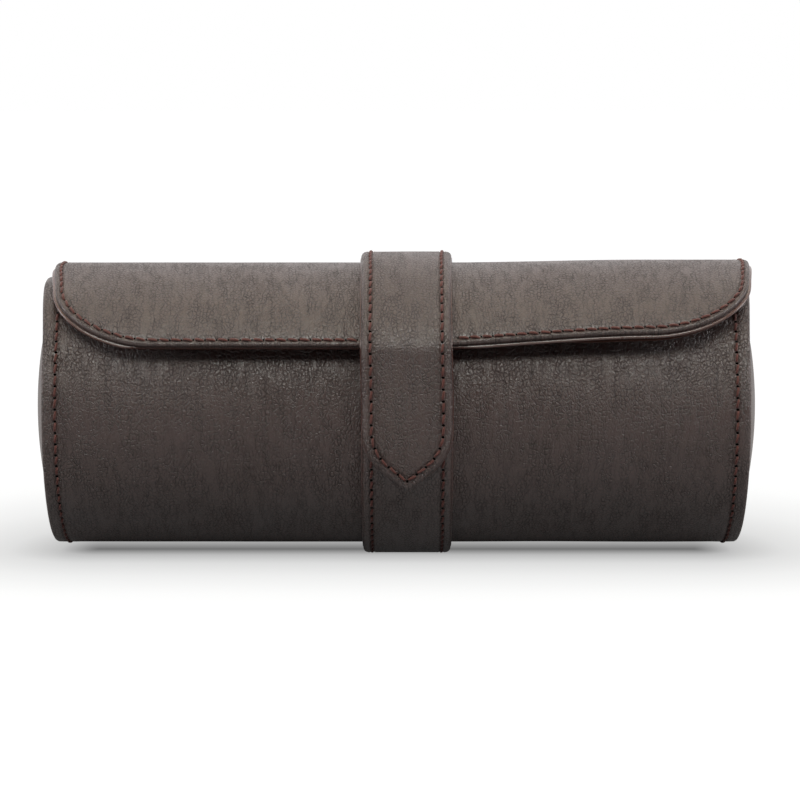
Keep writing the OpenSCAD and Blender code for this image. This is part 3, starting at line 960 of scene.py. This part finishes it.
def makeSpine():
    line = arc(Vector((0, 0)), caseR, seatAngle, caseForm["hingeAngle"], 8)
    line += arc(lidC, lidR, lidHingeAt, lidBack - 1.1, 8)[1:]
    course = Course(line, step=0.3)
    half = caseHalf - 0.9

    def warp(x, s, h):
        # it fills the step at the lid's back edge
        share = s / course.length
        return x + lidForm["shift"] * share, s, h * (1 + 0.5 * smoothStep(0.7, 1, share))

    panel = Panel(straightSides(half, course.length), (90, 14), course, warp)
    thick = caseForm["leather"]
    profile = [(0.4, 0.0), (0.0, -0.01), (0.0, -0.5), (0.0, -thick + 0.01), (0.4, -thick)]
    piece = panel.mesh("spineLeather", profile, [barrelHide])
    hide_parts("spine_leather")
    low, high = course.place(0, 0, 0), course.place(0, course.length, 0)
    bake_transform(piece)


makeSpine()


def strapSeam(name, panel, line, replaced):
    thread = sewSeam(name, seamSpots(panel, line, -stitchForm["depth"]))
    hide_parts(*replaced)
    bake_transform(thread)


def strapPanel(name, sides, counts, course, warp):
    form = strapForm
    panel = Panel(sides, counts, course, warp)
    profile, edgeFrom = edgeProfile(caseForm["strapThick"], form["seamIn"], form["lower"],
                                    reach=2.0, setBack=0.25, corner=1.6)
    return panel, panel.mesh(name, profile, [strapHide, edgeHideWithPaintedHighlight], edgeFrom)


# the strap's back length goes round the barrel from the front, then over the hinge and onto the lid
def makeBackStrap():
    form = strapForm
    ground = -axisZ
    leaves = seatAngle + form["pastHinge"] - 360
    line = arc(Vector((0, 0)), strapR, form["lowerTop"], leaves, 240)
    line = [Vector((p.x, max(p.y, ground))) for p in line]
    line += arc(lidC, lidR + caseForm["strapThick"], lidHingeAt - form["ontoLid"], form["split"], 40)
    course = Course(line, step=0.5, soften=3)
    footAt = math.radians(form["lowerTop"] + 90) * strapR

    def warp(x, s, h):
        keep = smoothStep(4, 10, abs(s - footAt) - 4)
        x *= 1 + form["widen"] * smoothStep(course.length - 40, course.length, s)
        return x + form["shift"], s, h + form["wobble"] * keep * (ripple(x, s, 22, 9.0) - 0.3)

    panel, piece = strapPanel("strapBack", straightSides(strapHalf, course.length), (14, 150), course, warp)
    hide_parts("lower_strap_leather", "lower_strap_backing", "strap_spine")
    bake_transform(piece)
    x = strapHalf - form["seamIn"]
    runs = (("Front", 2, footAt - form["footHalf"]), ("Rear", footAt + form["footHalf"], course.length - 0.5))
    for side, word in ((-1, "Left"), (1, "Right")):
        for part, s0, s1 in runs:
            points = [Vector((side * x, s0 + (s1 - s0) * i / 200)) for i in range(201)]
            strapSeam("strapStitches" + part + word, panel, points, ["lower_strap_thread"])


# it lies between the tab's layers, so it springs off with them
def makeTabMagnet(course, at):
    form = strapForm
    count = form["magnetSides"]
    out = course.spot(at)[1]
    down = Vector((0, -out.y, out.x))
    points = []
    for lies in form["magnetLies"]:
        for i in range(count):
            a = 2 * math.pi * i / count
            x = form["shift"] + form["magnetR"] * math.cos(a)
            middle = course.place(x, at, lies - caseForm["strapThick"])
            points.append(middle + down * form["magnetR"] * math.sin(a) * mm)
    faces = [tuple(range(count)), tuple(range(2 * count - 1, count - 1, -1))]
    faces += [(i, i + count, (i + 1) % count + count, (i + 1) % count) for i in range(count)]
    mesh = bpy.data.meshes.new("tabMagnet")
    mesh.from_pydata(points, [], faces)
    mesh.materials.append(platedSteel)
    magnet = addObject("tabMagnet", mesh)
    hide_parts("tab_magnet")
    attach(magnet, "tab")


def makeFrontStrap():
    form = strapForm
    thick = caseForm["strapThick"]
    touch = math.radians(tabTouch)
    up = Vector((math.sin(touch), math.cos(touch)))
    straightTop = up * form["straight"] + tabOutR * way(tabTouch)
    bendFrom = lidC + (lidR + thick) * way(form["leaves"])
    bendOver = lidC + (lidR + thick * 1.12) * way(form["bends"])
    line = arc(lidC, lidR + thick, form["split"], form["leaves"], 70)
    line += [(1 - u) ** 2 * bendFrom + 2 * u * (1 - u) * bendOver + u * u * straightTop
             for u in [i / 12 for i in range(1, 13)]]
    line += [straightTop.lerp(tabOutR * way(tabTouch), i / 20) for i in range(1, 21)]
    straightEnd = pathLength(line)
    # below that it springs a little off the lower strap
    hang = form["hangRadius"]
    line += arc((tabOutR - hang) * way(tabTouch), hang, tabTouch, tabTouch - form["hangTurn"], 60)[1:]
    course = Course(line, step=0.35, soften=4)

    def down(z):
        return straightEnd + math.radians(tabTouch - math.degrees(math.asin(
            (z - (tabOutR - hang) * way(tabTouch).y) / hang))) * hang

    r = form["round"]
    inX = strapHalf - r
    turned = math.radians(form["turn"])
    endX = inX + r * math.cos(turned)
    tipZ = form["shoulder"] - r * math.sin(turned) - endX / math.tan(turned)
    shoulder = [(inX + r * math.cos(math.radians(a)), down(form["shoulder"] - r * math.sin(math.radians(a))))
                for a in range(0, form["turn"] + 1, 5)]
    left = [(-x, s) for x, s in shoulder]
    tip = (0, down(tipZ))
    cut = 4
    sides = [
        [(-strapHalf, 0), (strapHalf, 0)],
        [(strapHalf, 0)] + shoulder[:cut + 1],
        shoulder[cut:] + [tip] + left[cut:][::-1],
        left[:cut + 1][::-1] + [(-strapHalf, 0)],
    ]

    def warp(x, s, h):
        below = smoothStep(straightEnd - 24, straightEnd, s)
        x *= 1 + form["widen"] * (1 - smoothStep(8, 42, s))
        shift = form["shift"] * (1 - 0.1 * (1 - below) * smoothStep(0, 25, s))
        return x + shift, s, h + form["wobble"] * ripple(x, s, 20, 3.0)

    panel, piece = strapPanel("strapFront", sides, (18, 92), course, warp)
    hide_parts("lid_strap_leather", "lid_strap_backing", "tab_spine", "tab_leather", "tab_backing")
    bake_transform(piece)
    makeTabMagnet(course, down(form["magnetAt"]))
    ring = panel.loop(form["seamIn"])
    across, along = panel.counts
    line = ring[across:] + ring[:1]
    tipAt = max(range(len(line)), key=lambda i: line[i].y)
    for word, part in (("Right", line[2:tipAt + 1]), ("Left", line[tipAt:-2])):
        strapSeam("tabStitches" + word, panel, part, ["lid_strap_thread", "tab_thread"])


makeBackStrap()
makeFrontStrap()
print("strap made")


cushionForm = {
    "sides": 84,
    "columns": 52,
    "crown": 0.5,
    "pucker": 0.6,
    "pressure": 6.0,
    "frames": 22,
    "slack": 0.08,       # the cover is cut this much larger than the roll
    "scale": 10,         # it is puffed up at ten times its size
    "cap": 1.5,          # mm, the farthest that a point may go
}


# the cover's profile is a row of (x, radius, 1 where it may puff up)
def cushionProfile(half, radius):
    form = cushionForm
    middle = []
    for i in range(form["columns"] + 1):
        u = i / form["columns"] * 2 - 1
        height = radius + form["crown"] * (1 - u * u) - 1.1 * abs(u) ** 12
        middle.append((u * (half - 2.0), height, abs(u) < 0.985))
    rim = [(half - x, r, False) for x, r in (
        (1.2, radius - 1.9), (0.7, radius - 2.8), (1.2, radius - 3.8),
        (1.5, radius - 6), (0.9, radius * 0.5), (0.5, radius * 0.2))]
    return [(-x, r, free) for x, r, free in rim[::-1]] + middle + rim, len(rim)


# a cloth run with air inside, on one roll; every cushion takes its shape, turned
def puffedRoll(half, radius):
    form = cushionForm
    profile, rim = cushionProfile(half, radius)
    sides = form["sides"]
    spots, free = [], []
    for x, r, loose in profile:
        for q in range(sides):
            a = 2 * math.pi * q / sides
            near = smoothStep(0.62, 0.98, abs(x) / half) if loose else 0
            r2 = r + form["pucker"] * near * math.sin(a * 19 + 4 * noise.noise(Vector((a * 2, x / 9, 1))))
            spots.append(Vector((x, r2 * math.cos(a), r2 * math.sin(a))))
            free.append(loose)
    faces = tubeFaces(len(profile), sides)
    faces += [tuple(range(sides))[::-1], tuple(range(len(spots) - sides, len(spots)))]
    scale = form["scale"] * mm
    mesh = bpy.data.meshes.new("roll")
    mesh.from_pydata([tuple(p * scale) for p in spots], [], faces)
    roll = addObject("roll", mesh)
    faceOut(roll)
    held = roll.vertex_groups.new(name="held")
    held.add([k for k, loose in enumerate(free) if not loose], 1.0, "REPLACE")
    cloth = roll.modifiers.new("cover", "CLOTH")
    cloth.settings.quality = 6
    cloth.settings.use_pressure = True
    cloth.settings.uniform_pressure_force = form["pressure"]
    cloth.settings.effector_weights.gravity = 0
    cloth.settings.vertex_group_mass = "held"
    cloth.settings.shrink_min = -form["slack"]
    cloth.settings.bending_stiffness = 0.2
    scene = bpy.context.scene
    cloth.point_cache.frame_start, cloth.point_cache.frame_end = 1, form["frames"]
    for at in range(1, form["frames"] + 1):
        scene.frame_set(at)
    made = roll.evaluated_get(bpy.context.evaluated_depsgraph_get()).data
    puffed = []
    for old, vertex in zip(spots, made.vertices):
        move = vertex.co / scale - old
        puffed.append(old + move * min(1, form["cap"] / max(move.length, 1e-6)))
    scene.frame_set(1)
    bpy.data.objects.remove(roll)
    return puffed, profile, rim


def makeCushion(word, turned):
    low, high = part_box(word + "_cushion_cover")
    middle = (low + high) / 2 / mm
    spots, profile, rim = roll
    sides = cushionForm["sides"]
    points, flat = [], []
    rows = len(profile)
    c, n = math.cos(turned), math.sin(turned)
    for k, p in enumerate(spots):
        points.append((middle + Vector((p.x, p.y * c - p.z * n, p.y * n + p.z * c))) * mm)
        flat.append((p.x / 100, 2 * math.pi * (k % sides) / sides * rollRadius / 100))
    faces = tubeFaces(rows, sides)
    kinds = [1 if i < rim - 2 or i >= rows - rim + 1 else 0 for i in range(rows - 1) for q in range(sides)]
    faces.append(tuple(range(sides))[::-1])
    faces.append(tuple((rows - 1) * sides + q for q in range(sides)))
    kinds += [1, 1]
    piece = makePiece(word + "Cushion", points, faces, flat, [cushionSuede, liningMapped], kinds,
                      around=2 * math.pi * rollRadius / 100)
    faceOut(piece)
    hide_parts(word + "_cushion_cover", word + "_cushion_core", word + "_cushion_ends")
    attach(piece, word + "_cushion")


rollLow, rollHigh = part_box("centre_cushion_cover")
rollRadius = (rollHigh.z - rollLow.z) / 2 / mm - 1.4
roll = puffedRoll((rollHigh.x - rollLow.x) / 2 / mm, rollRadius)
for word, turned in (("left", 0.4), ("centre", 2.3), ("right", 4.1)):
    makeCushion(word, turned)
print("cushions made")


# nodes that keep their own shape

nodeFinish = {
    "board": fibreBoard, "lining": liningSuede, "padding": foam, "magnet": platedSteel,
    "divider_cover": liningSuede, "thread": waxedThread,
}
for name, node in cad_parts.items():
    for word, finish in nodeFinish.items():
        if name.endswith(word):
            node.data.materials.clear()
            node.data.materials.append(finish)


studio = {
    "floorReach": 30,     # metres
    "floorFront": 4,
    "floorShade": 0.14,   # the floor's grey to light that bounces
    "paintedShadowHalf": 0.10,   # half the length of the painted shadow's middle, in metres
    "paintedShadowBehind": 0.55, # the painted shadow reaches farther behind
    "paintedShadowReach": 0.25,    # metres, the distance that counts as 1 in the glow and its painted shadow
    "paintedShadowGlow": ((0.0, 0.16), (0.05, 0.50), (0.12, 0.69), (0.22, 0.81), (0.35, 0.91), (0.6, 0.99)),
    "shadowShade": 0.08,  # the floor's grey to light that it shows
    "reflected": 0.36,    # how much of the floor's white the case reflects
    "top": 5.7,           # a wide soft light overhead
    "topColour": (1.0, 0.99, 0.78),
    "topAngle": 92,
    "topSize": (1.6, 1.5),
    "key": 8,             # and a long one in front
    "keyColour": (0.94, 1.0, 0.94),
    "keyAngle": 48.5,
    "keySize": (1.5, 0.35),
    "away": 1.2,          # both are this far, in metres, and a small one lights each end
    "side": 5.0,
    "sideSize": (0.5, 0.5),
    "sideAt": (1.3, -0.1, 0.5),
    "front": 0.0,         # the room's own light, dark in front and white behind
    "back": 1.05,
}


def makeStudio():
    look = studio
    p = Paint("studioFloor")
    spot = p.node("TexCoord", None, None, out="Object")
    beyond = p.maths("MAXIMUM", p.maths("ABSOLUTE", p.node("SeparateXYZ", None, {0: spot}, out=0), 0)
                     - look["paintedShadowHalf"], 0.0)
    depth = p.node("SeparateXYZ", None, {0: spot}, out=1)
    depth = p.maths("MAXIMUM", depth * -1.0, depth * look["paintedShadowBehind"])
    away = (beyond * beyond + depth * depth) ** 0.5
    # painted shadow: the floor glows less near the case, darkest at it and fading outwards
    paintedShadowGlow = p.ramp(away * (1 / look["paintedShadowReach"]), *look["paintedShadowGlow"])
    isGlossy = p.node("LightPath", None, None, out="Is Glossy Ray")
    seenBy = p.maths("MAXIMUM", p.node("LightPath", None, None, out="Is Camera Ray"),
                     look["reflected"] * isGlossy)
    body = p.node("BsdfDiffuse", None, {"Color": (*[look["floorShade"]] * 3, 1)})
    pale = p.node("BsdfDiffuse", None, {"Color": (*[look["shadowShade"]] * 3, 1)})
    # reflections see the painted shadow deeper
    shine = p.node("Emission", None, {"Color": paintedShadowGlow, "Strength": 1 - isGlossy * (1 - paintedShadowGlow)})
    seen = p.node("AddShader", None, {0: pale, 1: shine})
    finish = p.finish(p.node("MixShader", None, {0: seenBy, 1: body, 2: seen}))
    mesh = bpy.data.meshes.new("floor")
    reach, front = look["floorReach"], -look["floorFront"]
    corners = [(-reach, front, 0), (reach, front, 0), (reach, reach, 0), (-reach, reach, 0)]
    mesh.from_pydata(corners, [], [(0, 1, 2, 3)])
    mesh.materials.append(finish)
    floor = addObject("floor", mesh)

    world = bpy.data.worlds.new("studio")
    bpy.context.scene.world = world
    sky = Paint("studio", world)
    spot = sky.node("TexCoord", None, None, out="Generated")
    facing = sky.node("SeparateXYZ", None, {"Vector": spot}, out="Y")
    room = sky.ramp(facing * 0.5 + 0.5, (0.45, look["front"]), (0.85, look["back"]))
    ray = sky.maths("MAXIMUM", sky.node("LightPath", None, None, out="Is Camera Ray"),
                    sky.node("LightPath", None, None, out="Is Transmission Ray"))
    shade = sky.mix(ray, room, (1, 1, 1, 1))
    sky.finish(sky.node("Background", None, {"Color": shade, "Strength": 1.0}), "World")

    def softbox(name, power, colour, size, at, aim):
        lamp = bpy.data.lights.new(name, "AREA")
        lamp.shape = "RECTANGLE"
        lamp.size, lamp.size_y = size
        lamp.energy = power
        lamp.color = colour
        holder = addObject(name, lamp)
        holder.location = at
        holder.rotation_euler = (Vector(aim) - Vector(at)).to_track_quat("-Z", "Y").to_euler()

    for name in ("top", "key"):
        a = math.radians(look[name + "Angle"])
        softbox(name + "Light", look[name], look[name + "Colour"], look[name + "Size"],
                (0, -look["away"] * math.cos(a), look["away"] * math.sin(a)), (0, 0, 0.05))
    x, y, z = look["sideAt"]
    for name, side in (("leftLight", -1), ("rightLight", 1)):
        softbox(name, look["side"], (1, 1, 1), look["sideSize"], (side * x, y, z), (side * 0.1, 0, 0.05))


view = {"distance": 966, "elevation": 6, "lens": 129.8, "aimX": 1.2, "aimUp": 1.35}


def makeCamera():
    camera = bpy.data.cameras.new("camera")
    camera.lens = view["lens"]
    camera.sensor_width = 36
    camera.clip_end = 100
    holder = addObject("camera", camera)
    aim = Vector((view["aimX"], 0, axisZ + view["aimUp"])) * mm
    e = math.radians(view["elevation"])
    holder.location = aim + Vector((0, -math.cos(e), math.sin(e))) * view["distance"] * mm
    holder.rotation_euler = (aim - holder.location).to_track_quat("-Z", "Y").to_euler()
    bpy.context.scene.camera = holder


makeStudio()
makeCamera()
bpy.context.scene.view_settings.view_transform = "Standard"

print("scene complete")
